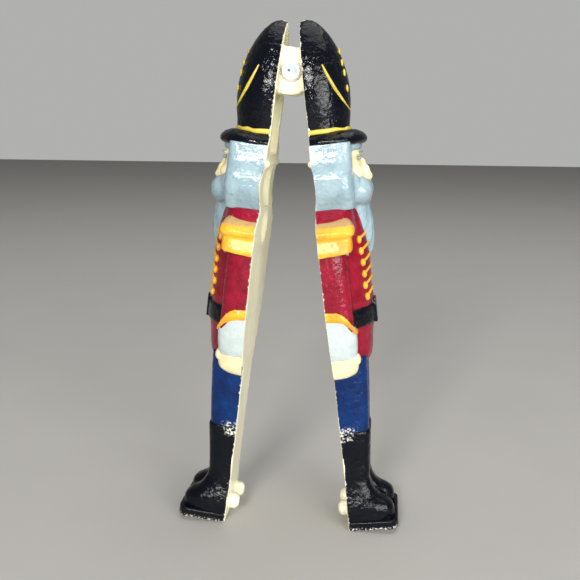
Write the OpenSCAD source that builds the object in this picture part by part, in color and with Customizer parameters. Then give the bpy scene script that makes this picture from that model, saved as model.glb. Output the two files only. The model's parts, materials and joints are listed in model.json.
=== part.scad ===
// Lever nutcracker in the shape of a toy soldier split down its length. Each half is one painted
// casting, and a rivet through lugs inside the hats hinges the two. Nuts go between the heads.
//
// The model stands as it is stored, with the levers leaning apart. Its origin is on the ground
// midway between them, +Z is up, and the hinge axis runs along Y. One half is drawn in its own
// frame first: x runs outwards from the flat cut plane, y across the figure, z up from its sole.

/* [Stance] */
// Lean of each lever away from upright when the nutcracker stands, in degrees
lean = 6.75; // [4:0.25:11]

/* [Hinge] */
// Height of the hinge axis above the sole
hinge_h = 168; // [167:0.5:169]
// Gap between the two cut planes when the levers are parallel
closed_gap = 7.84; // [7.6:0.02:8.6]
// Diameter of the rivet's shank
rivet_d = 5; // [4:0.25:5.5]
// Diameter of the rivet's two domed heads
rivet_head_d = 7.4; // [6.5:0.1:7.4]
// Height of each rivet head
rivet_head_h = 1.6; // [1:0.1:2]
// Radial clearance of the shank in the tongue's bore
running_clearance = 0.06; // [0.03:0.01:0.1]
// Radius of the rounded end of each lug
lug_r = 8; // [7:0.25:8.25]
// Thickness of the middle lug, the tongue
tongue_t = 6.4; // [6:0.2:6.8]
// Thickness of each outer lug, the ears
ear_t = 3.4; // [3:0.2:3.6]
// Side gap between the tongue and each ear
lug_gap = 0.35; // [0.3:0.05:0.5]

/* [Hat] */
// Height of the whole figure, from the sole to the top of the hat
figure_h = 185; // [184:0.5:186]
// Widest radius of the crown
crown_r = 12.6; // [12.2:0.1:13]
// Distance of the crown's axis from the cut plane
crown_axis = 2.3; // [1.5:0.1:2.8]
// Radius of the brim
brim_r = 14; // [13.5:0.1:14.5]
// Distance of the brim's axis from the cut plane
brim_axis = 5.4; // [5:0.1:5.8]

/* [Head] */
// Half width of the bobbed hair at its widest
hair_w = 17.2; // [16.5:0.1:17.8]
// Distance of the hair's front edge from the cut plane
hair_front = 13.6; // [13:0.1:14.2]
// Radius of the face
face_r = 15.3; // [14.8:0.1:15.6]
// Distance of the tip of the beard from the cut plane
beard_front = 18.5; // [18:0.1:18.8]

/* [Coat] */
// Radius of the chest
chest_r = 16.4; // [16:0.1:16.8]
// Radius of the belt
belt_r = 16.8; // [16.6:0.1:17]
// Half width across the shoulder fringes
shoulder_w = 22.5; // [22:0.1:23]
// Radius of a coat button
button_r = 1.2; // [1:0.1:1.4]

/* [Legs] */
// Height of the top edge of the boots
boot_h = 37.5; // [36:0.5:39]
// Half width of the pair of boots
boot_w = 9.9; // [9.4:0.1:10.2]

/* [Base] */
// Depth of the foot plate, from the cut plane outwards
plate_d = 18.5; // [18:0.1:19]
// Width of the foot plate
plate_w = 25.8; // [25:0.2:26.4]
// Thickness of the foot plate
plate_t = 3.3; // [3:0.1:3.6]
// Corner radius of the foot plate
plate_corner_r = 4; // [2:0.5:5]

/* [Jaws] */
// Depth of the upper dish, for a large nut
large_dish_depth = 3.4; // [2.5:0.1:4]
// Depth of the lower dish, for a small nut
small_dish_depth = 2.6; // [2:0.1:3]
// Height of the ridge above the upper dish that keeps a nut from slipping up
ridge_rise = 1.2; // [0.8:0.1:1.4]

/* [Hidden] */
$fn = 72;

black = [0.05, 0.06, 0.08];
gold = [0.87, 0.66, 0.20];
hair_grey = [0.60, 0.66, 0.70];
flesh = [0.95, 0.90, 0.70];
crimson = [0.60, 0.10, 0.19];
cuff_white = [0.92, 0.94, 0.93];
navy = [0.04, 0.16, 0.40];
cream = [0.92, 0.90, 0.76];

cut = 0.01;                 // overshoot of a cutter past the face that it opens
half_gap = closed_gap / 2;  // from the hinge axis to each cut plane

// The lowest point of a leaning half is the inner edge of its sole, and it stands on z = 0.
hinge_z = hinge_h * cos(lean) - half_gap * sin(lean);

// Hat: the crown is a quarter of a superellipse over a tapered drum
crown_wide_h = 160;
crown_bottom_h = 144;
crown_bottom_r = crown_r - 1.2;
crown_bulge = 1.75;
crown_steps = 12;
band_h = 145.4;
band_t = 2.8;
band_r = crown_bottom_r + 0.5;
brim_bottom_h = 141;
brim_edge_h = 142.6;
brim_root_h = 146;
brim_edge_t = 1.2;

// Head
chin_h = 119;
hair_bottom_h = 121;
hair_wide_h = 130;
hair_top_h = 142;
hair_top_w = 13.6;
face_axis = 1.8;
cheek_r = 5;
beard_tip_h = 102.5;
beard_w = 7;

// Coat
coat_bottom_h = 62;
collar_h = 120.5;
belt_bottom_h = 77.2;
belt_top_h = 84.2;
buckle_w = 6.2;
buckle_bottom_h = 76.6;
buckle_top_h = 86.2;
sleeve_r = 6.9;
sleeve_axis = 2.6;
shoulder_bottom_h = 104.6;
shoulder_roll_h = 111.4;
shoulder_top_h = 119;
shoulder_front = 12.6;
shoulder_corner_r = 3.5;
button_count = 6;
button_top_h = 108.4;
button_pitch = 4.15;
button_y = 8.2;

// Legs: a boot's shaft is a cylinder over a flat back that reaches the cut plane
leg_r = 5.2;
leg_y = boot_w - leg_r;
leg_axis = 4.9;
trouser_top_r = 6.3;
ankle_h = 18;
foot_front = 17.2;
foot_h = 9.8;

// Jaws, pocket and heels, on the flat inner side
pocket_bottom_h = 139;
pocket_depth = 5.6;
hat_wall = 2.6;
lug_root_d = pocket_depth + 1;
swing_clearance = 0.4;      // around the other half's lugs as they swing
lugs_w = tongue_t + 2 * lug_gap + 2 * ear_t;
ridge_h = 136;
ridge_w = 26;
large_dish_h = 128;
large_dish_r = 8.2;
small_dish_h = 112.6;
small_dish_r = 6.4;
scoop_depth = 0.9;
scoop_r = 28;
heel_r = 2.9;
heel_h = 6;
heel_y = 5.2;
heel_clearance = 0.16;      // keeps the heels of the closed levers from touching
heel_tip = half_gap - heel_clearance;

// The same shape on both sides of the figure's middle
module both_sides() {
    children();
    mirror([0, 1, 0]) children();
}

// An outline of [x, z] points, extruded across the figure from y = from to y = to
module across(from, to, outline) {
    translate([0, to, 0]) rotate([90, 0, 0]) linear_extrude(to - from) polygon(outline);
}

// An outline of [y, z] points, extruded outwards from x = from to x = to
module outwards(from, to, outline) {
    translate([from, 0, 0]) rotate([90, 0, 90]) linear_extrude(to - from) polygon(outline);
}

// A profile of [radius, z] points, turned about an upright axis
module turned(axis_x, profile) {
    translate([axis_x, 0, 0]) rotate_extrude() polygon(profile);
}

// A round limb that runs from one point to another
module limb(from, to, from_r, to_r) {
    run = to - from;
    translate(from) rotate([0, acos(run.z / norm(run)), atan2(run.y, run.x)])
        cylinder(h = norm(run), r1 = from_r, r2 = to_r);
}

// A plate with its two outer corners rounded, from z = from to z = to
module rounded_plate(depth, width, corner_r, from, to) {
    translate([0, 0, from]) linear_extrude(to - from) union() {
        translate([0, -width / 2]) square([depth - corner_r, width]);
        translate([0, corner_r - width / 2]) square([depth, width - 2 * corner_r]);
        for (side = [-1, 1])
            translate([depth - corner_r, side * (width / 2 - corner_r)]) circle(corner_r);
    }
}

// The crown's [radius, z] profile from z = bottom up, with its wall moved in by inset
function crown_profile(bottom, inset) = concat(
    [[0, bottom], [crown_bottom_r - inset, bottom], [crown_bottom_r - inset, band_h + band_t]],
    [for (i = [0:crown_steps]) let (a = 90 * i / crown_steps, bend = 2 / crown_bulge)
        [(crown_r - inset) * pow(cos(a), bend),
            crown_wide_h + (figure_h - inset - crown_wide_h) * pow(sin(a), bend)]]);

module crown() {
    color(black) turned(crown_axis, crown_profile(crown_bottom_h, 0));
}

module hat_band() {
    color(gold) translate([crown_axis, 0, band_h]) cylinder(h = band_t, r = band_r);
}

module brim() {
    color(black) turned(brim_axis, [
        [0, brim_bottom_h], [brim_r - 1.4, brim_bottom_h], [brim_r, brim_edge_h],
        [brim_r - 0.3, brim_edge_h + brim_edge_t], [crown_bottom_r - 1.5, brim_root_h],
        [0, brim_root_h]]);
}

// The hair hangs in a bob on each side, cut off flat where the face begins.
module hair() {
    color(hair_grey) intersection() {
        outwards(-1, hair_front, [
            [-hair_top_w, hair_top_h], [-hair_top_w - 1, hair_wide_h + 6], [-hair_w, hair_wide_h + 1],
            [-hair_w, hair_wide_h - 3], [-hair_w + 1.6, hair_bottom_h + 1],
            [-hair_w + 3, hair_bottom_h - 1],
            [hair_w - 3, hair_bottom_h - 1], [hair_w - 1.6, hair_bottom_h + 1],
            [hair_w, hair_wide_h - 3], [hair_w, hair_wide_h + 1],
            [hair_top_w + 1, hair_wide_h + 6], [hair_top_w, hair_top_h]]);
        rounded_plate(hair_front, 2 * hair_w, 3, hair_bottom_h - 2, hair_top_h + 1);
    }
}

module face() {
    color(flesh) {
        turned(face_axis, [[0, chin_h], [face_r - 1, chin_h], [face_r, chin_h + 4],
            [face_r, hair_top_h - 6], [face_r - 0.4, hair_top_h], [0, hair_top_h]]);
        limb([15.5, 0, 134], [18.2, 0, 130.4], 1.5, 1.8);
        translate([18.2, 0, 130.4]) sphere(1.8);
    }
    color(hair_grey) both_sides() translate([14.9, 4.2, 125.6]) sphere(cheek_r);
}

// The beard is a shield that tapers to a point over the coat's front.
module beard() {
    color(hair_grey) intersection() {
        turned(0, [[0, beard_tip_h - 1], [beard_front - 1, beard_tip_h - 1],
            [beard_front - 0.3, beard_tip_h + 4], [beard_front, 112], [beard_front - 0.3, chin_h + 3],
            [0, chin_h + 3]]);
        outwards(10, beard_front + 1, [
            [-1, beard_tip_h], [1, beard_tip_h], [3.6, 106], [5.6, 111], [beard_w, chin_h + 3],
            [-beard_w, chin_h + 3], [-5.6, 111], [-3.6, 106]]);
    }
}

module coat_body() {
    color(crimson) turned(0, [
        [0, coat_bottom_h], [12.8, coat_bottom_h], [14.2, 65.5], [15, 70], [15.4, 75],
        [chest_r - 0.2, belt_bottom_h], [chest_r - 0.3, 88], [chest_r, 95], [chest_r, 112],
        [chest_r - 0.8, 117.5], [chest_r - 2.2, collar_h], [0, collar_h]]);
}

module sleeve() {
    color(crimson) limb([sleeve_axis, 14, 114], [sleeve_axis, 13.1, 84], sleeve_r, sleeve_r);
    color(gold) limb([sleeve_axis, 13.1, 84.6], [sleeve_axis, 12.4, 80.4], sleeve_r, sleeve_r + 0.3);
    color(cuff_white) limb([sleeve_axis, 12.5, 81], [sleeve_axis, 10.2, 67.6], sleeve_r, 6);
    color(flesh) {
        limb([sleeve_axis - 0.4, 10.2, 68.4], [sleeve_axis - 0.6, 8.3, 60.2], 5.7, 4.9);
        translate([8.6, 11.6, 66.2]) sphere(1.7);
    }
}

module shoulder() {
    color(gold) intersection() {
        outwards(-1, shoulder_front + 1, [
            [8, shoulder_bottom_h], [shoulder_w, shoulder_bottom_h], [20.5, shoulder_roll_h],
            [21.2, shoulder_roll_h + 0.6], [21.1, shoulder_roll_h + 2.6], [20, 115.6],
            [17.2, 118.2], [12, shoulder_top_h], [8, shoulder_top_h]]);
        rounded_plate(shoulder_front, 2 * shoulder_w, shoulder_corner_r,
            shoulder_bottom_h - 1, shoulder_top_h + 1);
    }
}

module belt() {
    color(black) {
        translate([0, 0, belt_bottom_h]) cylinder(h = belt_top_h - belt_bottom_h, r = belt_r);
        translate([12, -buckle_w / 2, buckle_bottom_h])
            cube([belt_r + 0.5 - 12, buckle_w, buckle_top_h - buckle_bottom_h]);
    }
}

// Two rows of buttons, each on the curve of the chest
module buttons() {
    color(gold) for (i = [0:button_count - 1])
        both_sides() translate([
            sqrt(pow(chest_r, 2) - pow(button_y - 0.25 * i, 2)) - 0.1,
            button_y - 0.25 * i,
            button_top_h - i * button_pitch])
            sphere(button_r);
}

// One leg: a flat-backed column, trousers above the boot
module leg() {
    color(navy) {
        limb([leg_axis, leg_y, boot_h - 1], [leg_axis + 0.6, leg_y + 0.4, 66], leg_r, trouser_top_r);
        outwards(0, leg_axis, [[0, boot_h - 1], [boot_w, boot_h - 1], [boot_w + 1.4, 66], [0, 66]]);
    }
    color(black) {
        translate([leg_axis, leg_y, plate_t]) cylinder(h = boot_h - plate_t, r = leg_r);
        translate([leg_axis + 0.2, leg_y, boot_h - 3]) cylinder(h = 3, r = leg_r + 0.5);
        translate([0, 0, plate_t]) cube([leg_axis, boot_w, boot_h - plate_t]);
    }
}

// One foot: rounded toe, and an instep that rises to the ankle
module foot() {
    color(black) intersection() {
        across(0, plate_w / 2, [
            [0, plate_t - 0.5], [foot_front, plate_t - 0.5], [foot_front, 6.6], [foot_front - 1, 8.4],
            [foot_front - 3, foot_h], [12, 11], [10.4, 13.6], [9.6, ankle_h], [0, ankle_h]]);
        outwards(-1, foot_front + 1, [
            [0.4, plate_t - 0.5], [0.4, 8], [2, 13], [4, ankle_h], [9, ankle_h], [10.6, 12.6],
            [12.3, 8.4], [12.3, plate_t - 0.5]]);
        translate([0, 0, plate_t - 0.5]) linear_extrude(ankle_h) union() {
            translate([0, 0.4]) square([foot_front - 5.6, 12]);
            translate([foot_front - 6, 6.4]) circle(6);
        }
    }
}

module foot_plate() {
    color(black) rounded_plate(plate_d, plate_w, plate_corner_r, 0, plate_t);
}

// The outside of one figure, cut flat at x = 0
module soldier() {
    intersection() {
        union() {
            crown();
            hat_band();
            brim();
            hair();
            face();
            beard();
            coat_body();
            both_sides() {
                sleeve();
                shoulder();
                leg();
                foot();
            }
            belt();
            buttons();
            foot_plate();
        }
        translate([0, -shoulder_w - 5, 0]) cube([30, 2 * shoulder_w + 10, figure_h + 1]);
    }
}

// Space inside the hat that the other half's lugs swing into
module hat_pocket() {
    intersection() {
        turned(crown_axis, crown_profile(pocket_bottom_h, hat_wall));
        translate([-cut, -crown_r, pocket_bottom_h])
            cube([pocket_depth + cut, 2 * crown_r, figure_h - pocket_bottom_h]);
    }
    translate([-half_gap, lugs_w / 2 + swing_clearance, hinge_h]) rotate([90, 0, 0])
        cylinder(h = lugs_w + 2 * swing_clearance, r = lug_r + swing_clearance);
}

// A round dish of a stated depth and rim radius, sunk in the cut plane
module dish(h, rim_r, depth) {
    ball_r = (pow(rim_r, 2) + pow(depth, 2)) / (2 * depth);
    translate([depth - ball_r, 0, h]) sphere(ball_r);
}

module jaw_hollows() {
    translate([scoop_depth - scoop_r, 30, large_dish_h]) rotate([90, 0, 0])
        cylinder(h = 60, r = scoop_r);
    dish(large_dish_h, large_dish_r, large_dish_depth);
    dish(small_dish_h, small_dish_r, small_dish_depth);
}

module jaw_ridge() {
    color(cream) translate([0, ridge_w / 2, ridge_h]) rotate([90, 0, 0])
        cylinder(h = ridge_w, r = ridge_rise);
}

// Two round knobs that meet those of the other lever, so that the feet keep fingers clear
module heels() {
    color(cream) both_sides() {
        translate([0, heel_y, heel_h]) rotate([0, -90, 0]) cylinder(h = heel_tip - 1.2, r = heel_r);
        translate([1.2 - heel_tip, heel_y, heel_h]) rotate([0, -90, 0])
            cylinder(h = 1.2, r1 = heel_r, r2 = heel_r - 1.2);
        translate([-cut, heel_y, heel_h]) rotate([0, 90, 0]) cylinder(h = 3, r = heel_r);
    }
}

// A lug from y = from to y = to: rounded about the hinge axis, with its root in the hat pocket
module lug(from, to) {
    color(cream) {
        translate([-half_gap, to, hinge_h]) rotate([90, 0, 0]) cylinder(h = to - from, r = lug_r);
        translate([-half_gap, from, hinge_h - lug_r])
            cube([half_gap + lug_root_d, to - from, 2 * lug_r]);
    }
}

module hinge_bore(r) {
    translate([-half_gap, 20, hinge_h]) rotate([90, 0, 0]) cylinder(h = 40, r = r);
}

module left_half() {
    ear_y = tongue_t / 2 + lug_gap;
    difference() {
        union() {
            difference() {
                soldier();
                hat_pocket();
                jaw_hollows();
            }
            jaw_ridge();
            heels();
            both_sides() lug(ear_y, ear_y + ear_t);
        }
        hinge_bore(rivet_d / 2);
    }
}

module right_half() {
    difference() {
        union() {
            difference() {
                soldier();
                hat_pocket();
                jaw_hollows();
            }
            jaw_ridge();
            heels();
            lug(-tongue_t / 2, tongue_t / 2);
        }
        hinge_bore(rivet_d / 2 + running_clearance);
    }
}

// Leans one half about the hinge axis and stands it on the ground
module standing() {
    translate([0, 0, hinge_z]) rotate([0, -lean, 0]) translate([half_gap, 0, -hinge_h]) children();
}

// The figure is symmetric across y, so the left lever is a half turned round to face away.
module left_lever() {
    rotate([0, 0, 180]) standing() left_half();
}

module right_lever() {
    standing() right_half();
}

// A shank with a dished dome at each end, clinched tight in the two ears
module hinge_rivet() {
    grip = tongue_t / 2 + lug_gap + ear_t;
    color(cuff_white) translate([0, 0, hinge_z]) rotate([90, 0, 0]) rotate_extrude()
        polygon([[0, -grip - rivet_head_h + 0.25], [1.6, -grip - rivet_head_h],
            [rivet_head_d / 2 - 0.9, -grip - 0.7 * rivet_head_h], [rivet_head_d / 2, -grip],
            [rivet_d / 2, -grip], [rivet_d / 2, grip], [rivet_head_d / 2, grip],
            [rivet_head_d / 2 - 0.9, grip + 0.7 * rivet_head_h], [1.6, grip + rivet_head_h],
            [0, grip + rivet_head_h - 0.25]]);
}

left_lever();
right_lever();
hinge_rivet();
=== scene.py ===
import json
import math

import bmesh
import bpy
from mathutils import Matrix, Vector, noise


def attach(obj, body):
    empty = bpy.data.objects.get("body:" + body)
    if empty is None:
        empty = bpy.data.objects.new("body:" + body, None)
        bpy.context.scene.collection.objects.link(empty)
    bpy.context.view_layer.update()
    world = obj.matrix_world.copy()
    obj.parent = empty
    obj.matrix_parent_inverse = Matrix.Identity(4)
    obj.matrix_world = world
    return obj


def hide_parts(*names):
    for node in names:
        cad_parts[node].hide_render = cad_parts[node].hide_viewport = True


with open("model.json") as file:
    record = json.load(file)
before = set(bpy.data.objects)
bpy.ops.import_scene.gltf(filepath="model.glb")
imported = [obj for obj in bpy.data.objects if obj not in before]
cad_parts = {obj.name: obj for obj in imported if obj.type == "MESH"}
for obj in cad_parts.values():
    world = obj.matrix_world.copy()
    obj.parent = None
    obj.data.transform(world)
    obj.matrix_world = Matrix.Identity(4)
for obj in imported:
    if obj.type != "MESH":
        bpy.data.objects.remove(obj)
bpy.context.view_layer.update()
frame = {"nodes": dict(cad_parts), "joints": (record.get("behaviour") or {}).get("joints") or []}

# The two castings. Each half is one iron casting from a two-part mould: the soldier stands out on
# one side, and the flat inner side carries the jaw, the heels and the hinge lugs. It is dipped in
# cream enamel all over before it is painted, so the inner side stays cream.

# Sizes are in millimetres in a figure's own frame: x outwards from its flat face, y across it, and
# z up from its sole. The figure then leans in, and the left one is the right one turned round.
MM = 0.001
HINGE_HEIGHT = 168.0
HINGE_OFFSET = 3.92
hinge = frame["joints"][0]
LEAN = math.radians(-hinge["range_deg"][0] / 2)
stood = (
    Matrix.Translation(hinge["pos_m"])
    @ Matrix.Rotation(-LEAN, 4, "Y")
    @ Matrix.Scale(MM, 4)
    @ Matrix.Translation((HINGE_OFFSET, 0, -HINGE_HEIGHT))
)
LEVERS = {"right": stood, "left": Matrix.Rotation(math.pi, 4, "Z") @ stood}
CREAM = (0.88, 0.86, 0.64)
OLD_CREAM = (0.74, 0.68, 0.43)
GRIME = (0.33, 0.28, 0.17)


class Shader:
    """A material's nodes. add() makes one node, and gives one of its outputs as a Level."""

    def __init__(self, name):
        self.material = bpy.data.materials.new(name)
        self.material.use_nodes = True
        self.tree = self.material.node_tree
        self.tree.nodes.clear()

    def add(self, kind, settings=None, inputs=None, output=0):
        node = self.tree.nodes.new(kind)
        for key, value in (settings or {}).items():
            setattr(node, key, value)
        for key, value in (inputs or {}).items():
            socket = node.inputs[key]
            if isinstance(value, Level):
                self.tree.links.new(value.socket, socket)
            elif socket.type == "RGBA":
                socket.default_value = (*value, 1.0)
            else:
                socket.default_value = value
        return Level(self, node.outputs[output]) if len(node.outputs) else None

    def place(self):
        return self.add("ShaderNodeTexCoord", output="Object")

    def figure(self):
        """Where a point is in its figure's own frame: outwards, across and up, in millimetres."""
        where = self.add("ShaderNodeAttribute", {"attribute_name": "figure"}, output="Vector")
        return [
            self.add("ShaderNodeSeparateXYZ", {}, {"Vector": where}, output=axis) for axis in "XYZ"
        ]

    def noise(self, size_mm, detail=2.0, roughness=0.5):
        """Clouds of about this size, from 0 to 1 and mostly near the middle."""
        inputs = {
            "Vector": self.place(),
            "Scale": 1 / (size_mm * MM),
            "Detail": detail,
            "Roughness": roughness,
        }
        return self.add("ShaderNodeTexNoise", {}, inputs)

    def mix(self, share, a, b):
        return self.add(
            "ShaderNodeMix", {"data_type": "RGBA"}, {0: share, 6: a, 7: b}, output=2
        )

    def ramp(self, value, low, high):
        """0 below low, 1 above high, and smooth between them."""
        return self.add(
            "ShaderNodeMapRange",
            {"interpolation_type": "SMOOTHSTEP"},
            {"Value": value, "From Min": low, "From Max": high},
        )

    def bump(self, height, depth_mm, strength=1.0):
        inputs = {"Height": height, "Distance": depth_mm * MM, "Strength": strength}
        return self.add("ShaderNodeBump", {}, inputs)

    def finish(self, colour, roughness, normal, constants):
        inputs = {"Base Color": colour, "Roughness": roughness, "Normal": normal}
        surface = self.add("ShaderNodeBsdfPrincipled", {}, {**inputs, **constants})
        self.add("ShaderNodeOutputMaterial", {}, {"Surface": surface})
        return self.material


class Level:
    """One output of a node. Arithmetic on it adds Math nodes."""

    def __init__(self, shader, socket):
        self.shader, self.socket = shader, socket

    def math(self, operation, a, b):
        return self.shader.add("ShaderNodeMath", {"operation": operation}, {0: a, 1: b})

    def __add__(self, other):
        return self.math("ADD", self, other)

    __radd__ = __add__

    def __sub__(self, other):
        return self.math("SUBTRACT", self, other)

    def __rsub__(self, other):
        return self.math("SUBTRACT", other, self)

    def __mul__(self, other):
        return self.math("MULTIPLY", self, other)

    __rmul__ = __mul__

    def __pow__(self, other):
        return self.math("POWER", self, other)

    def most(self, other):
        return self.math("MAXIMUM", self, other)


def cream_enamel():
    """Old cream enamel over sand-cast iron: glossy, uneven, browner where hands and nuts rub."""
    s = Shader("cream_enamel")
    clouds = s.noise(9, 3.0, 0.6)
    colour = s.mix(s.ramp(clouds, 0.42, 0.68) * 0.45, CREAM, OLD_CREAM)
    grime = s.ramp(s.noise(2.2, 4.0, 0.7), 0.60, 0.74) * s.ramp(clouds, 0.45, 0.65)
    colour = s.mix(grime * 0.35, colour, GRIME)
    peel = s.noise(1.1, 2.0, 0.55) * 0.7 + s.noise(3.2, 1.0) * 0.6
    roughness = 0.24 + s.noise(5, 2.0) * 0.16
    coat = {"Coat Weight": 0.35, "Coat Roughness": 0.12}
    return s.finish(colour, roughness, s.bump(peel, 0.12), coat)


def solid(name, mesh):
    piece = bpy.data.objects.new(name, mesh)
    bpy.context.scene.collection.objects.link(piece)
    return piece


def modified(bm, kind, settings):
    """The shape that one modifier makes of bm."""
    mesh = bpy.data.meshes.new("shape")
    bm.to_mesh(mesh)
    bm.free()
    piece = solid("shape", mesh)
    modifier = piece.modifiers.new(kind, kind)
    for key, value in settings.items():
        setattr(modifier, key, value)
    made = piece.evaluated_get(bpy.context.evaluated_depsgraph_get())
    bm = bmesh.new()
    bm.from_mesh(made.to_mesh())
    bpy.data.objects.remove(piece)
    bpy.data.meshes.remove(mesh)
    return bm


def skinned(bm, voxel):
    """One even skin round all the solids in bm, with faces of about the voxel's size."""
    return modified(bm, "REMESH", {"mode": "VOXEL", "voxel_size": voxel})


def soften(bm, times):
    """Rounds edges off, as a mould and thick paint do."""
    axes = {"use_axis_x": True, "use_axis_y": True, "use_axis_z": True}
    for _ in range(times):
        bmesh.ops.smooth_vert(bm, verts=bm.verts[:], factor=0.5, **axes)
    bm.normal_update()


def grain(bm, depth, size=1.9):
    """The lumps that a sand mould leaves, under the paint."""
    bm.normal_update()
    for v in bm.verts:
        v.co += v.normal * depth * noise.fractal(v.co / size, 1.0, 2.0, 2)


def finished(bm, name, stand, material, body, crease=38):
    """Makes a piece of a shape, stands it in its place and lets it ride on a CAD body. The shape
    keeps where its points were before that, as the attribute that Shader.figure() reads."""
    mesh = bpy.data.meshes.new(name)
    bm.to_mesh(mesh)
    figure = mesh.attributes.new("figure", "FLOAT_VECTOR", "POINT")
    figure.data.foreach_set("vector", [c for v in mesh.vertices for c in v.co])
    mesh.transform(stand)
    mesh.shade_smooth()
    mesh.set_sharp_from_angle(angle=math.radians(crease))
    mesh.materials.append(material)
    piece = solid(name, mesh)
    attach(piece, body)
    return piece


def along(rows, height):
    """The row of sizes at a height, between the rows that are given, lowest first."""
    for low, high in zip(rows, rows[1:]):
        if height <= high[0]:
            share = (height - low[0]) / (high[0] - low[0])
            return [a + (b - a) * share for a, b in zip(low, high)]
    return rows[-1]


# What the paint covers is a little smaller than the solid, so that the painted relief hides it. The
# shoulders stay under the shoulder boards, and the groove between the boots is clear.
CASTING_VOXEL = 0.5
FLAT_FACE = 0.3
HAT_INSET = 1.7
BODY_INSET = 2.6
BRIM_BOTTOM = 138.0
SHOULDER_LINE = [
    (113.0, 21.6), (113.8, 20.6), (114.8, 19.5), (115.9, 17.9), (117.5, 16.6), (118.6, 15.8),
    (121.0, 14.5),
]
SHOULDER_START = 9.4
SHOULDER_OUT = 9.4
BOOT_GROOVE_HEIGHTS = (3.4, 16.0)
BOOT_GROOVE_HALF_WIDTH = 3.0
BOOT_GROOVE_OUT = 6.5
cream = cream_enamel()
for side in LEVERS:
    node = f"{side}_lever"
    bm = bmesh.new()
    bm.from_mesh(frame["nodes"][node].data)
    bmesh.ops.remove_doubles(bm, verts=bm.verts[:], dist=0.001 * MM)
    bm.transform(LEVERS[side].inverted())
    bm = skinned(bm, CASTING_VOXEL)
    soften(bm, 2)
    for v in bm.verts:
        faces_out = v.normal.x * v.co.x + v.normal.y * v.co.y > 0
        if faces_out and v.co.x > FLAT_FACE:
            deepest = HAT_INSET if v.co.z > BRIM_BOTTOM else BODY_INSET
            v.co -= v.normal * min(deepest, (v.co.x - FLAT_FACE) * 0.8)
    for v in bm.verts:
        if SHOULDER_LINE[0][0] < v.co.z < SHOULDER_LINE[-1][0]:
            half_width = along(SHOULDER_LINE, v.co.z)[1]
            v.co.y = max(-half_width, min(half_width, v.co.y))
            if abs(v.co.y) > SHOULDER_START:
                v.co.x = min(v.co.x, SHOULDER_OUT)
        low, high = BOOT_GROOVE_HEIGHTS
        if low < v.co.z < high and abs(v.co.y) < BOOT_GROOVE_HALF_WIDTH:
            v.co.x = min(v.co.x, BOOT_GROOVE_OUT)
    grain(bm, 0.05)
    casting = finished(bm, f"{side}_casting", LEVERS[side], cream, node, crease=50)
    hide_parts(node)
    bm.free()


# The hat. The crown and its brim are cast with the figure and brushed with glossy black enamel,
# which takes up the roughness of the sand mould and breaks its highlights into sparks. Like every
# colour here, it is a thin skin that ends at the parting edge.
CHIPPED = (0.72, 0.72, 0.64)
CHIP_FADE = 1.2


def enamel(name, colour, shade, peel_depth, gloss, chips=None, shine=0.5, top=None):
    """Hand-brushed gloss enamel, chipped back to the cream coat along the parting edge. chips is
    the lowest and highest height of a zone of more chips, and how far out it reaches. top is the
    heights where a painted sheen colour starts and takes over on the top faces, and that colour."""
    s = Shader(name)
    outwards, _, up = s.figure()
    thick = s.ramp(s.noise(6.5, 3.0, 0.6), 0.38, 0.66)
    mottled = s.mix(thick, colour, shade)
    # Above the top heights the colour turns to a painted sheen: a tan that stands in for the light
    # from above on the top faces.
    if top:
        low, high, top_sheen = top
        mottled = s.mix(s.ramp(up + s.noise(2.0, 2.0) * 0.8 - 0.4, low, high), mottled, top_sheen)
    ragged = s.noise(1.3, 3.0, 0.65)
    wear = s.ramp(ragged * 1.5 - outwards * 0.55, 0.60, 0.78)
    if chips:
        low, high, reach = chips
        near = s.ramp(up, low - CHIP_FADE, low) * (1 - s.ramp(up, high, high + CHIP_FADE))
        near = near * (1 - s.ramp(outwards, reach * 0.4, reach))
        flakes = s.noise(0.8, 3.0, 0.7)
        wear = wear.most(s.ramp(flakes + near * 0.1, 0.595, 0.665) * near * 0.92)
    painted = s.mix(wear, mottled, CHIPPED)
    peel = s.noise(1.25, 2.0, 0.6) * 0.9 + s.noise(2.6, 1.0, 0.5) - wear * 0.4
    roughness = gloss + s.noise(3.4, 3.0, 0.6) * 0.16 + wear * 0.3
    coat = {"Coat Weight": 0.4 * shine, "Coat Roughness": 0.08, "Specular IOR Level": shine}
    return s.finish(painted, roughness, s.bump(peel, 2 * peel_depth), coat)


def column(bm, outline, bottom, top, around=72, rise=0.7):
    """An upright solid. outline(angle, height) gives its surface as outwards, across and up."""
    rod = bmesh.new()
    bmesh.ops.create_cone(rod, cap_ends=True, segments=around, radius1=1, radius2=1, depth=1)
    sides = [e for e in rod.edges if e.verts[0].co.z != e.verts[1].co.z]
    cuts = max(1, round((top - bottom) / rise))
    bmesh.ops.subdivide_edges(rod, edges=sides, cuts=cuts)
    for v in rod.verts:
        height = bottom + (v.co.z + 0.5) * (top - bottom)
        v.co = outline(math.atan2(v.co.y, v.co.x), height)
    mesh = bpy.data.meshes.new("rod")
    rod.to_mesh(mesh)
    rod.free()
    bm.from_mesh(mesh)
    bpy.data.meshes.remove(mesh)


def round_column(bm, axis, rows):
    """A column of circles about an upright axis. Rows are height and radius."""

    def outline(angle, height):
        radius = along(rows, height)[1]
        return axis + radius * math.cos(angle), radius * math.sin(angle), height

    column(bm, outline, rows[0][0], rows[-1][0], around=96)


def power(value, exponent):
    return math.copysign(abs(value) ** exponent, value)


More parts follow.
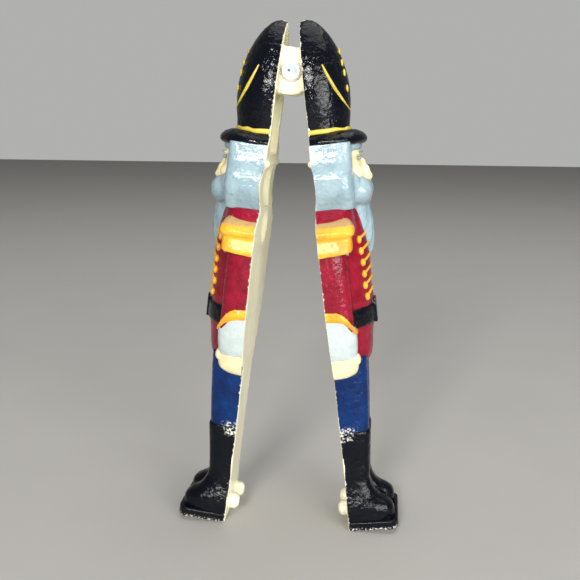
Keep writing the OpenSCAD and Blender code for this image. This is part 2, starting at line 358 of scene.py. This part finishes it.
CROWN_AXIS = 2.3
CROWN_TOP = 185.0
CROWN_WIDE = 160.0
CROWN_RADIUS = 12.75
DOME_BEND = 1.14
DOME_STEPS = 24
CROWN = [(139.0, 11.5), (147.5, 11.5), (149.5, 11.75), (153.0, 12.3), (156.5, 12.65)]
for step in range(DOME_STEPS + 1):
    angle = math.pi / 2 * step / DOME_STEPS
    radius = CROWN_RADIUS * power(math.cos(angle), DOME_BEND)
    height = CROWN_WIDE + (CROWN_TOP - CROWN_WIDE) * power(math.sin(angle), DOME_BEND)
    CROWN.append((height, max(radius, 0.02)))


def lathe(bm, axis, profile, steps=96):
    """Turns an outline of radius and height about an upright axis."""
    corners = [bm.verts.new((axis + radius, 0, height)) for radius, height in profile]
    edges = [bm.edges.new(pair) for pair in zip(corners, corners[1:] + corners[:1])]
    bmesh.ops.spin(
        bm,
        geom=corners + edges,
        cent=(axis, 0, 0),
        axis=(0, 0, 1),
        angle=math.tau,
        steps=steps,
        use_merge=True,
    )


BRIM_AXIS = 5.4
BRIM_PROFILE = [
    (0, 141.1), (8.0, 140.9), (12.4, 141.1), (13.6, 141.6), (14.1, 142.4), (14.1, 143.2),
    (13.6, 144.2), (12.6, 145.2), (10.4, 146.3), (0, 146.3),
]
HAT_THICKNESS = 1.3
PAINT_EDGE = 0.22
PAINT_THICKNESS = 0.9
FLAT_FACE_GAP = 0.07
JAW_HEIGHT = 128.0
SCOOP_RADIUS = 28.0
SCOOP_DEPTH = 0.9
SCOOP_FADE = 4.0
POCKET_DEPTH = 7.0
POCKET_HALF_WIDTH = 9.0
POCKET_HEIGHTS = (138.0, 148.0)


def coat_of_paint(bm, thickness=PAINT_THICKNESS):
    """Cuts a shape at the parting edge, which dips at the jaw, and leaves a skin of it."""
    geometry = bm.verts[:] + bm.edges[:] + bm.faces[:]
    bmesh.ops.bisect_plane(
        bm, geom=geometry, plane_co=(PAINT_EDGE, 0, 0), plane_no=(-1, 0, 0), clear_outer=True
    )

    # The pocket for the lugs goes through from the hat into the head.
    def in_pocket(at):
        low, high = POCKET_HEIGHTS
        return at.x < POCKET_DEPTH and abs(at.y) < POCKET_HALF_WIDTH and low < at.z < high

    inside = [f for f in bm.faces if in_pocket(f.calc_center_median())]
    bmesh.ops.delete(bm, geom=inside, context="FACES")
    for v in bm.verts:
        dip = SCOOP_DEPTH - (v.co.z - JAW_HEIGHT) ** 2 / (2 * SCOOP_RADIUS)
        v.co.x += max(dip, 0.0) * max(1 - (v.co.x - PAINT_EDGE) / SCOOP_FADE, 0.0)
    bm = modified(bm, "SOLIDIFY", {"thickness": thickness, "offset": -1})
    # The skin's inner wall stays off the flat face.
    for v in bm.verts:
        v.co.x = max(v.co.x, PAINT_EDGE - FLAT_FACE_GAP)
    return bm


def on_both_levers(bm, name, material):
    for side, stand in LEVERS.items():
        finished(bm, f"{side}_{name}", stand, material, f"{side}_lever")
    bm.free()


BLACK = (0.0015, 0.002, 0.004)
bm = bmesh.new()
round_column(bm, CROWN_AXIS, CROWN)
lathe(bm, BRIM_AXIS, BRIM_PROFILE)
bm = skinned(bm, 0.42)
soften(bm, 2)
grain(bm, 0.09)
bm = coat_of_paint(bm, HAT_THICKNESS)
black = enamel("black_enamel", BLACK, (0.002, 0.003, 0.007), 0.15, gloss=0.03, shine=0.22)
on_both_levers(bm, "hat", black)


# The gold on the hat: a painted band above the brim, two cast cords that hang from the sides of
# the crown to its front, and a badge of small gold studs. All of it is raised on the casting.
def ball(bm, centre, radii, detail=3):
    size = Matrix.Diagonal((*radii, 1))
    bmesh.ops.create_icosphere(
        bm, subdivisions=detail, radius=1, matrix=Matrix.Translation(centre) @ size
    )


def on_crown(side, out, height):
    """The point of the crown's surface on one side, this far out and up."""
    radius = along(CROWN, height)[1]
    across = math.sqrt(max(radius**2 - (out - CROWN_AXIS) ** 2, 0.0))
    return Vector((min(out, CROWN_AXIS + radius), side * across, height))


def cut(bm, at, outwards):
    """Cuts off all that lies beyond a plane, and closes the cut."""
    geometry = bm.verts[:] + bm.edges[:] + bm.faces[:]
    made = bmesh.ops.bisect_plane(
        bm, geom=geometry, plane_co=at, plane_no=outwards, clear_outer=True
    )
    rim = [e for e in made["geom_cut"] if isinstance(e, bmesh.types.BMEdge)]
    bmesh.ops.triangle_fill(bm, use_beauty=True, use_dissolve=False, edges=rim)


BAND = [
    (10.8, 145.9), (11.8, 145.9), (12.05, 146.4), (12.05, 147.0), (11.8, 147.5), (10.8, 147.5),
]
BAND_WAVE = 0.6
# Heights of the cord, and how far out it lies there.
CORD = [(153.0, 14.55), (154.2, 13.9), (156.8, 12.4), (160.2, 10.5), (164.6, 8.5), (168.4, 7.0)]
CORD_STEPS = 60
# Heights of the studs, and how far out they lie.
STUDS = [(172.8, 12.6), (168.9, 13.3), (165.5, 13.8), (160.2, 14.3)]
bm = bmesh.new()
lathe(bm, CROWN_AXIS, BAND)
for v in bm.verts:
    v.co.z += BAND_WAVE * noise.noise(v.co * 0.28)
for flip in (-1, 1):
    for step in range(CORD_STEPS + 1):
        share = step / CORD_STEPS
        height = CORD[-1][0] - (CORD[-1][0] - CORD[0][0]) * share
        out = along(CORD, height)[1]
        size = 0.35 + 0.30 * math.sin(math.pi * min(share * 1.1, 1))
        ball(bm, on_crown(flip, out, height), (size, size, size * 1.1), 2)
    for height, out in STUDS:
        ball(bm, on_crown(flip, out, height), (0.5, 1.25, 1.4))
bm = skinned(bm, 0.24)
soften(bm, 2)
cut(bm, (PAINT_EDGE, 0, 0), (-1, 0, 0))
hat_gold = enamel(
    "hat_gold_enamel", (0.62, 0.50, 0.07), (0.48, 0.36, 0.04), peel_depth=0.10, gloss=0.26
)
on_both_levers(bm, "hat_gold", hat_gold)


# Hair, moustache and beard. The bobbed hair hangs to the collar on each side, the full moustache
# bulges over the cheeks, and the beard tapers over the coat. Thick blue-grey enamel, two coats.
# A column starts behind the flat face, where the parting edge cuts it off.
BACK = -1.5


def half_column(bm, rows, back=BACK, around=64, rise=0.7):
    """A column with a flat back. Rows are height, how far out it comes, where it starts and ends
    across, how square its section is, and how much its front edge drops below that height."""

    def outline(angle, height):
        _, front, start, end, square, drop = along(rows, height)
        bend = 2 / square
        middle, half = (start + end) / 2, (end - start) / 2
        if math.cos(angle) > 0:
            out = power(math.cos(angle), bend)
            return (
                back + (front - back) * out,
                middle + half * power(math.sin(angle), bend),
                height - drop * out**4.5,
            )
        return back, middle + half * math.sin(angle), height

    column(bm, outline, rows[0][0], rows[-1][0], around, rise)


def whole(rows, square, drop=0.0):
    """Rows of a column that is the same on both sides of the figure's middle."""
    return [(height, front, -half, half, square, drop) for height, front, half in rows]


def one_side(rows, flip, square):
    """Rows of a column on one side. Rows are height, front, start and end across, and drop."""
    return [
        (height, front, min(flip * a, flip * b), max(flip * a, flip * b), square, drop)
        for height, front, a, b, drop in rows
    ]


HAIR = [
    (119.4, 13.6, 14.0), (121.0, 13.5, 14.7), (123.0, 13.8, 15.8), (125.2, 13.9, 17.0),
    (126.4, 13.9, 17.3), (127.6, 14.0, 17.4), (130.8, 13.9, 17.3), (133.0, 13.9, 16.6),
    (136.0, 14.0, 15.1), (139.0, 14.1, 14.3), (142.4, 14.2, 13.9),
]
TEMPLES = [
    (119.6, 14.6, 13.4), (123.0, 15.4, 13.2), (131.0, 15.2, 12.2), (138.4, 15.4, 11.8),
    (139.2, 16.6, 12.0), (139.8, 17.4, 12.3), (142.4, 17.4, 12.4),
]
BEARD = [
    (102.2, 17.0, 0.5), (102.8, 17.6, 1.2), (104.0, 18.0, 2.2), (106.0, 18.5, 3.5),
    (109.0, 18.8, 4.9), (113.0, 18.9, 6.3), (117.0, 18.6, 7.1), (120.0, 18.4, 7.4),
    (123.0, 18.2, 7.4),
]
BEARD_BACK = 11.0
# The middle and the half sizes of each lobe on one side: outwards, across and up.
MOUSTACHE = [
    ((14.9, 5.4, 125.2), (5.2, 5.4, 5.2)),
    ((16.5, 2.9, 124.9), (3.7, 3.1, 3.4)),
    ((15.2, 3.6, 122.4), (4.1, 4.6, 3.0)),
    ((13.4, 8.2, 127.0), (3.0, 3.6, 5.0)),
]
LOCKS_TOP = 120.0
LOCKS_OUT = 14.0
LOCK_DEPTH = 0.22
LOCK_TURN = 2.3


def balls_on_both_sides(bm, lobes):
    for flip in (-1, 1):
        for (out, across, height), radii in lobes:
            ball(bm, (out, flip * across, height), radii)


bm = bmesh.new()
half_column(bm, whole(HAIR, 10.0), around=128)
half_column(bm, whole(TEMPLES, 2.8))
half_column(bm, whole(BEARD, 2.3), back=BEARD_BACK)
balls_on_both_sides(bm, MOUSTACHE)
bm = skinned(bm, 0.42)
soften(bm, 3)
for v in bm.verts:
    if v.co.z < LOCKS_TOP and v.co.x > LOCKS_OUT:
        fade_in = min(1.0, (LOCKS_TOP - v.co.z) / 4)
        v.co.x += LOCK_DEPTH * math.cos(v.co.y * LOCK_TURN) * fade_in
grain(bm, 0.07)
bm = coat_of_paint(bm)
grey = enamel(
    "hair_enamel", (0.28, 0.385, 0.43), (0.22, 0.32, 0.365), 0.13, gloss=0.14, shine=0.45
)
on_both_levers(bm, "hair", grey)


# The face: a plain cream doll's face between the hair and the moustache, with a long nose. It is
# cast with the head and brushed with cream enamel.
FACE = [
    (122.0, 16.6, 12.0), (127.0, 17.0, 12.4), (131.0, 17.1, 12.6), (134.4, 16.9, 12.6),
    (136.4, 16.3, 12.5), (138.0, 16.7, 12.5), (140.0, 16.6, 12.2),
]
NOSE = [
    ((16.8, 0, 133.8), (1.5, 1.3, 2.6)),
    ((17.8, 0, 131.6), (1.7, 1.6, 2.3)),
    ((18.3, 0, 129.6), (1.95, 1.9, 1.9)),
]
NOSTRIL = ((17.6, 1.7, 128.9), (1.3, 1.2, 1.2))
CHEEK = ((14.7, 5.4, 131.4), (2.7, 3.4, 2.7))
BROW_RIDGE = ((15.4, 4.4, 137.9), (1.5, 3.2, 0.9))
# A point on each plane that trims the mask, and the way the plane faces.
MASK_EDGES = {
    "back": ((13.6, 0, 0), (-1, 0, 0)),
    "moustache": ((13.2, 0, 131.5), (-0.65, 0, -0.76)),
    "brim": ((14.0, 0, 140.0), (-0.4, 0, 1)),
}
bm = bmesh.new()
half_column(bm, whole(FACE, 2.6))
for centre, radii in NOSE:
    ball(bm, centre, radii)
balls_on_both_sides(bm, [NOSTRIL, CHEEK, BROW_RIDGE])
bm = skinned(bm, 0.36)
for at, outwards in MASK_EDGES.values():
    cut(bm, at, outwards)
soften(bm, 4)
grain(bm, 0.04)
flesh = enamel("face_enamel", (0.82, 0.72, 0.44), (0.74, 0.62, 0.35), 0.10, gloss=0.28)
on_both_levers(bm, "face", flesh)


# The eyes and brows: small raised dabs of the hair's blue-grey enamel, touched in with a fine
# brush over the dry cream.
EYE = ((16.2, 5.3, 136.3), (0.9, 1.5, 0.62))
BROW = ((16.5, 4.6, 138.2), (0.9, 1.9, 0.3))
bm = bmesh.new()
balls_on_both_sides(bm, [EYE, BROW])
on_both_levers(bm, "eyes", grey)


# The coat: crimson enamel over the cast body, with the sleeves cast close to its sides, sloping
# shoulders, and a short skirt that flares out under the belt.
COAT = [
    (62.5, 12.4, 12.4), (63.4, 13.5, 13.2), (65.5, 14.4, 13.8), (69.0, 15.0, 14.0),
    (73.0, 15.4, 14.6), (77.0, 16.1, 15.4), (84.0, 16.2, 16.0), (86.8, 16.8, 16.3),
    (90.0, 16.3, 16.3), (95.0, 16.6, 16.6), (101.0, 16.7, 16.7), (108.0, 16.5, 16.5),
    (114.0, 16.0, 16.2), (118.0, 15.4, 15.8), (120.2, 14.8, 15.2),
]
SHOULDERS = [
    (110.0, 13.4, 19.4), (114.5, 13.3, 19.0), (116.8, 13.1, 17.6), (118.6, 12.9, 16.4),
    (120.2, 12.7, 15.4),
]
SLEEVE = [
    (82.4, 9.7, 8.4, 19.5, 8.4), (85.2, 9.7, 8.4, 19.7, 8.4), (90.0, 9.6, 8.4, 20.2, 3.0),
    (94.0, 9.6, 8.2, 20.6, 0.0), (100.0, 9.6, 8.0, 20.9, 0.0), (114.0, 9.6, 8.0, 20.6, 0.0),
]
COAT_SQUARE = 2.1
bm = bmesh.new()
half_column(bm, whole(COAT, COAT_SQUARE))
half_column(bm, whole(SHOULDERS, 4.0))
for flip in (-1, 1):
    half_column(bm, one_side(SLEEVE, flip, 3.2))
bm = skinned(bm, 0.45)
soften(bm, 6)
grain(bm, 0.07)
bm = coat_of_paint(bm)
crimson = enamel(
    "crimson_enamel", (0.25, 0.005, 0.022), (0.17, 0.003, 0.015), 0.13, gloss=0.12, shine=0.26
)
on_both_levers(bm, "coat", crimson)


# Shoulder boards: cast pads with a rolled edge and a fringe that hangs over the sleeve. They are
# painted warm gold, and their tops are painted tan as a painted sheen for the light from above.
BOARD = [
    (104.4, 11.5, 9.0, 22.3, 0.0), (106.0, 11.6, 9.0, 22.1, 0.0), (109.0, 11.6, 9.0, 21.3, 0.0),
    (110.4, 11.6, 9.0, 20.9, 0.0), (110.8, 12.1, 9.0, 21.3, 0.0), (111.5, 12.7, 9.0, 21.8, 0.0),
    (112.6, 12.9, 9.0, 21.8, 0.0), (113.8, 12.7, 9.0, 21.2, 0.0), (114.8, 12.3, 9.0, 20.0, 0.0),
    (115.9, 11.7, 9.0, 18.4, 0.0), (117.0, 10.8, 9.0, 16.4, 0.0),
]
# The tan that takes over the boards' tops is a painted sheen for the light that falls on them from
# above.
BOARD_TOP_SHEEN = (114.2, 115.0, (0.45, 0.28, 0.11))
FRINGE_TOP = 111.0
FRINGE_HEIGHT = 7.0
FRINGE_SLOPE = 0.11
WARM_GOLD = (0.80, 0.42, 0.03)
DEEP_GOLD = (0.70, 0.31, 0.025)
bm = bmesh.new()
for flip in (-1, 1):
    half_column(bm, one_side(BOARD, flip, 5.5), rise=0.4)
# The fringe's lower edge rises towards the front.
for v in bm.verts:
    share = max(0.0, (FRINGE_TOP - v.co.z) / FRINGE_HEIGHT)
    v.co.z += FRINGE_SLOPE * max(v.co.x, 0) * share
bm = skinned(bm, 0.36)
soften(bm, 2)
grain(bm, 0.05)
bm = coat_of_paint(bm)
board_gold = enamel(
    "board_enamel", WARM_GOLD, DEEP_GOLD, 0.14, gloss=0.24, shine=0.3, top=BOARD_TOP_SHEEN
)
on_both_levers(bm, "shoulder_boards", board_gold)


# Frogging: six pairs of round buttons, each with a braid that rises to the middle of the chest.
# They are cast in low relief on the coat and picked out in gold.
BUTTON_ROWS = 6
BUTTON_TOP = 108.4
BUTTON_PITCH = 4.15
BUTTON_ACROSS = 9.4
BUTTON_TAPER = 0.3
BUTTON = (1.0, 1.45, 1.45)
BRAID = (0.5, 0.5, 0.55)
BRAID_LIFT = 1.9
BRAID_STEPS = 24


def on_chest(across, height, rise):
    """The point of the coat's surface at this place, and rise in front of it."""
    front, half = along(COAT, height)[1:]
    share = min(abs(across) / half, 1.0)
    bulge = (1 - share**COAT_SQUARE) ** (1 / COAT_SQUARE)
    return Vector((BACK + (front - BACK) * bulge + rise, across, height))


bm = bmesh.new()
for row in range(BUTTON_ROWS):
    height = BUTTON_TOP - row * BUTTON_PITCH
    start = BUTTON_ACROSS - BUTTON_TAPER * row
    for flip in (-1, 1):
        ball(bm, on_chest(flip * start, height, 0.1), BUTTON)
        for step in range(BRAID_STEPS + 1):
            share = step / BRAID_STEPS
            lift = 0.3 + BRAID_LIFT * math.sin(share * math.pi / 2)
            ball(bm, on_chest(flip * start * (1 - share), height + lift, 0.15), BRAID, 2)
bm = skinned(bm, 0.22)
soften(bm, 2)
gold = enamel("gold_enamel", WARM_GOLD, DEEP_GOLD, 0.12, gloss=0.22, shine=0.30)
on_both_levers(bm, "frogging", gold)


# Belt and buckle: a plain black belt that shows between the sleeves, with a square buckle. It is
# cast with the coat and painted in the black of the hat.
BELT = [
    (14.5, 77.2), (16.5, 77.3), (16.95, 77.8), (17.05, 79.0), (17.05, 82.4), (16.95, 83.6),
    (16.5, 84.2), (14.5, 84.3),
]
BELT_ENDS = 6.0
BUCKLE_AT = (16.2, 0, 81.4)
BUCKLE_SIZE = (2.6, 6.4, 8.8)


def block(bm, centre, size):
    place = Matrix.Translation(centre) @ Matrix.Diagonal((*size, 1))
    bmesh.ops.create_cube(bm, size=1, matrix=place)


bm = bmesh.new()
lathe(bm, 0.0, BELT)
block(bm, BUCKLE_AT, BUCKLE_SIZE)
bm = skinned(bm, 0.34)
soften(bm, 3)
grain(bm, 0.05)
cut(bm, (BELT_ENDS, 0, 0), (-1, 0, 0))
on_both_levers(bm, "belt", black)


# Cuffs and hands: each sleeve ends in a gold trim that curves down towards the front, over a white
# gauntlet, and a cream hand with its thumb forward comes out of that. All of it is cast relief.
CUFF = [
    (66.5, 9.4, 7.0, 15.7, 0.0), (69.0, 9.8, 7.2, 16.7, 0.0), (73.0, 10.1, 7.6, 17.8, 1.0),
    (78.0, 10.2, 8.0, 18.8, 3.0), (84.8, 10.1, 8.0, 19.8, 7.2),
]
TRIM = [
    (81.9, 10.1, 8.0, 19.6, 6.3), (82.5, 10.6, 8.0, 20.1, 6.6), (83.6, 10.7, 8.0, 20.25, 7.2),
    (84.7, 10.5, 8.0, 20.2, 8.0), (85.5, 9.8, 8.0, 19.8, 8.6),
]
HAND = [
    (58.6, 5.6, 7.6, 11.8, -0.6), (59.2, 7.4, 7.2, 12.7, -0.6), (60.4, 8.8, 7.0, 13.5, -0.4),
    (62.5, 9.5, 7.0, 14.3, 0.0), (66.0, 9.7, 7.0, 15.4, 0.0), (68.4, 9.6, 7.0, 16.0, 0.0),
]
THUMB = ((9.0, 12.0, 66.0), (1.7, 2.1, 2.3))
white = enamel(
    "white_enamel", (0.50, 0.57, 0.56), (0.44, 0.51, 0.51), 0.10, gloss=0.26, shine=0.4
)
for name, rows, square, voxel, material in (
    ("cuffs", CUFF, 3.0, 0.40, white),
    ("cuff_trim", TRIM, 3.2, 0.28, gold),
    ("hands", HAND, 3.0, 0.36, flesh),
):
    bm = bmesh.new()
    for flip in (-1, 1):
        half_column(bm, one_side(rows, flip, square), rise=0.4)
    if name == "hands":
        balls_on_both_sides(bm, [THUMB])
    bm = skinned(bm, voxel)
    soften(bm, 2)
    grain(bm, 0.04)
    bm = coat_of_paint(bm)
    on_both_levers(bm, name, material)


# Trousers: two navy legs cast side by side, with a groove between them that a web closes at its
# bottom. The paint is chipped above the boots.
TROUSER = [
    (36.2, 10.7, 0.2, 9.7, 0.0), (39.0, 10.9, 0.2, 10.0, 0.0), (45.0, 11.4, 0.2, 10.5, 0.0),
    (52.0, 11.9, 0.2, 11.0, 0.0), (60.0, 12.4, 0.2, 11.6, 0.0), (66.0, 12.6, 0.2, 12.0, 0.0),
]
TROUSER_WEB = [(36.2, 8.6, 6.0), (66.0, 10.4, 7.0)]
TROUSER_CHIPS = (36.0, 39.0, 8.0)
bm = bmesh.new()
for flip in (-1, 1):
    half_column(bm, one_side(TROUSER, flip, 2.8))
half_column(bm, whole(TROUSER_WEB, 4.0))
bm = skinned(bm, 0.42)
soften(bm, 3)
grain(bm, 0.08)
bm = coat_of_paint(bm)
navy = enamel(
    "navy_enamel",
    (0.001, 0.022, 0.11),
    (0.0008, 0.013, 0.070),
    0.14,
    gloss=0.12,
    chips=TROUSER_CHIPS,
    shine=0.22,
)
on_both_levers(bm, "trousers", navy)


# Boots: tall black boots with a turned edge at the top and round toes, side by side on the foot
# plate and cast in one with it. Their gloss black is chipped at the top, where hands grip.
BOOT = [
    (2.6, 17.2, 0.7, 12.4, 0.0), (6.6, 17.4, 0.7, 12.5, 0.0), (8.2, 16.7, 0.6, 12.4, 0.0),
    (9.6, 15.2, 0.6, 12.0, 0.0), (11.0, 12.8, 0.5, 11.5, 0.0), (13.0, 11.0, 0.4, 10.8, 0.0),
    (15.5, 9.9, 0.3, 10.1, 0.0), (18.5, 9.3, 0.2, 9.7, 0.0), (24.5, 9.9, 0.2, 9.6, 0.0),
    (30.0, 10.5, 0.2, 9.8, 0.0), (34.6, 11.0, 0.2, 10.0, 0.0), (36.4, 11.3, 0.2, 10.2, 0.0),
    (37.6, 11.0, 0.2, 10.0, 0.0),
]
BOOT_WEB = [(2.6, 15.6, 4.0), (8.0, 13.6, 4.0), (12.0, 8.0, 6.0), (37.4, 8.8, 6.0)]
BOOT_CHIPS = (34.5, 38.5, 7.0)
WORN_BLACK = (0.002, 0.003, 0.006)
bm = bmesh.new()
for flip in (-1, 1):
    half_column(bm, one_side(BOOT, flip, 3.0))
half_column(bm, whole(BOOT_WEB, 4.0))
bm = skinned(bm, 0.42)
soften(bm, 2)
grain(bm, 0.08)
bm = coat_of_paint(bm)
boot_black = enamel(
    "boot_black_enamel", BLACK, WORN_BLACK, 0.14, gloss=0.10, chips=BOOT_CHIPS, shine=0.18
)
on_both_levers(bm, "boots", boot_black)


# The foot plate: a plain slab with rounded outer corners, cast in one with the boots, which the
# nutcracker stands on. The table wears its black paint off along the lower edge, and the pale
# flecks there are also painted glints.
PLATE_SIZE = (18.5, 25.8, 3.35)
PLATE_CORNER = 4.0
# Pale flecks along the lower edge: worn paint, and painted glints that stand in for highlights on
# that edge.
PLATE_CHIPS_AND_GLINTS = (-1.0, 0.5, 30.0)
bm = bmesh.new()
block(bm, (PLATE_SIZE[0] / 2, 0, PLATE_SIZE[2] / 2), PLATE_SIZE)


def is_outer_corner(edge):
    low, high = sorted(v.co.z for v in edge.verts)
    return low < high and all(v.co.x > 1 for v in edge.verts)


bmesh.ops.bevel(
    bm,
    geom=[e for e in bm.edges if is_outer_corner(e)],
    offset=PLATE_CORNER,
    segments=10,
    profile=0.5,
    affect="EDGES",
    material=-1,
)
bm = skinned(bm, 0.34)
soften(bm, 2)
grain(bm, 0.06)
bm = coat_of_paint(bm)
plate_black = enamel(
    "plate_black_enamel", BLACK, WORN_BLACK, 0.14, gloss=0.10, chips=PLATE_CHIPS_AND_GLINTS, shine=0.18
)
on_both_levers(bm, "foot_plate", plate_black)


# The rivet: a domed head at each end, clinched tight and dipped with the castings. Its middle is
# rubbed back to bare blue-grey metal, with a small dark spot of painted shade where a pit would be.
RIVET_GRIP = 6.95
SHANK_RADIUS = 2.4
RIVET_HEAD = [
    (0, 1.40), (1.2, 1.46), (1.9, 1.62), (2.3, 1.56), (3.0, 1.22), (3.5, 0.72), (3.72, 0.15),
    (3.72, -0.30), (0, -0.30),
]
bm = bmesh.new()
lathe(bm, 0.0, RIVET_HEAD)
bmesh.ops.translate(bm, vec=(0, 0, RIVET_GRIP), verts=bm.verts[:])
copied = bmesh.ops.duplicate(bm, geom=bm.verts[:] + bm.edges[:] + bm.faces[:])["geom"]
other_head = [v for v in copied if isinstance(v, bmesh.types.BMVert)]
half_turn = Matrix.Rotation(math.pi, 3, "X")
bmesh.ops.rotate(bm, cent=(0, 0, 0), matrix=half_turn, verts=other_head)
bmesh.ops.create_cone(
    bm,
    cap_ends=True,
    segments=48,
    radius1=SHANK_RADIUS,
    radius2=SHANK_RADIUS,
    depth=2 * RIVET_GRIP,
)
bm.transform(Matrix.Rotation(-math.pi / 2, 4, "X"))
bm = skinned(bm, 0.17)
soften(bm, 2)
grain(bm, 0.03)
CHALKY = (0.80, 0.80, 0.72)
BARE_METAL = (0.36, 0.46, 0.55)
GREY_RING = (0.30, 0.34, 0.36)
PIT_SHADE_COLOUR = (0.03, 0.04, 0.06)
PIT_AT = (-0.7, 0.2)
s = Shader("rivet_enamel")
away, _, up = s.figure()
from_middle = (away * away + up * up) ** 0.5 + s.noise(1.5) * 0.8 - 0.4
rubbed = 1 - s.ramp(from_middle, 2.0, 2.5)
ring = s.ramp(from_middle, 2.9, 3.1) * (1 - s.ramp(from_middle, 3.2, 3.45))
pit_away, pit_up = away - PIT_AT[0], up - PIT_AT[1]
# A dark spot painted as the shade of a pit; the head's surface is smooth there.
pit_shade = 1 - s.ramp(pit_away * pit_away + pit_up * pit_up, 0.05, 0.35)
colour = s.mix(rubbed * 0.85, CHALKY, BARE_METAL)
colour = s.mix(ring * 0.35, colour, GREY_RING)
colour = s.mix(pit_shade * 0.9, colour, PIT_SHADE_COLOUR)
rivet_enamel = s.finish(
    colour, 0.22 + rubbed * 0.12, s.bump(s.noise(0.9), 0.1), {"Coat Weight": 0.3}
)
at_hinge = Matrix.Translation(hinge["pos_m"]) @ Matrix.Scale(MM, 4)
rivet = finished(bm, "rivet", at_hinge, rivet_enamel, "left_lever")
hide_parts("hinge_rivet")
bm.free()


# The studio: a pale table, a window to the left behind the camera, a large soft light above and a
# fill on the right. The room looks brighter to the camera than it does to the nutcracker, so that
# glossy black stays dark.
TABLE_PALE = (0.40, 0.39, 0.375)
TABLE_PALER = (0.43, 0.42, 0.405)
ROOM_COLOUR = (0.95, 0.95, 0.93)
ROOM_LIGHT = 0.22
ROOM_SEEN = 0.46
bpy.ops.mesh.primitive_plane_add(size=6, location=(0, 0, 0))
table = bpy.context.object
table.name = "table"
s = Shader("pale_table")
speck = s.noise(40, 3.0)
pale = s.mix(speck, TABLE_PALE, TABLE_PALER)
table.data.materials.append(s.finish(pale, 0.55 + speck * 0.1, s.bump(speck, 0.2), {}))

world = bpy.data.worlds.new("room")
world.use_nodes = True
nodes, links = world.node_tree.nodes, world.node_tree.links
room = nodes["Background"]
room.inputs["Color"].default_value = (*ROOM_COLOUR, 1)
seen = nodes.new("ShaderNodeLightPath")
strength = nodes.new("ShaderNodeMapRange")
strength.inputs["To Min"].default_value = ROOM_LIGHT
strength.inputs["To Max"].default_value = ROOM_SEEN
links.new(seen.outputs["Is Camera Ray"], strength.inputs["Value"])
links.new(strength.outputs["Result"], room.inputs["Strength"])
bpy.context.scene.world = world
bpy.context.scene.view_settings.view_transform = "Standard"


def softbox(name, at, aim, size, watts, colour):
    light = bpy.data.lights.new(name, "AREA")
    light.shape = "RECTANGLE"
    light.size, light.size_y = size
    light.energy = watts
    light.color = colour
    lamp = bpy.data.objects.new(name, light)
    bpy.context.scene.collection.objects.link(lamp)
    lamp.location = at
    lamp.rotation_euler = (Vector(aim) - Vector(at)).to_track_quat("-Z", "Y").to_euler()


DAYLIGHT = (1.0, 0.98, 0.95)
SOFT_WHITE = (1.0, 0.99, 0.97)
softbox("window", (-0.25, -1.5, 0.75), (0, 0, 0.1), (0.40, 0.30), 21, DAYLIGHT)
softbox("ceiling", (0.2, 0.1, 1.5), (0, 0, 0.1), (1.6, 1.6), 13, SOFT_WHITE)
softbox("fill", (0.85, -1.2, 0.30), (0, 0, 0.09), (0.9, 0.9), 27, SOFT_WHITE)


# The camera stands a little to the right of the nutcracker and looks slightly down on it, through
# a normal lens from 0.3 metres away.
CAMERA_YAW = math.radians(6.99)
CAMERA_PITCH = math.radians(11.57)
CAMERA_ROLL = math.radians(0.46)
CAMERA_DISTANCE = 0.296
CAMERA_TARGET = Vector((-0.00076, 0, 0.08853))
LENS_LENGTH = 49.66
camera = bpy.data.objects.new("camera", bpy.data.cameras.new("camera"))
camera.data.lens = LENS_LENGTH
camera.data.sensor_width = 36
camera.data.clip_start = 0.01
turn = (
    Matrix.Rotation(CAMERA_YAW, 4, "Z")
    @ Matrix.Rotation(math.pi / 2 - CAMERA_PITCH, 4, "X")
    @ Matrix.Rotation(CAMERA_ROLL, 4, "Z")
)
camera.matrix_world = Matrix.Translation(CAMERA_TARGET) @ turn @ Matrix.Translation(
    (0, 0, CAMERA_DISTANCE)
)
bpy.context.scene.collection.objects.link(camera)
bpy.context.scene.camera = camera
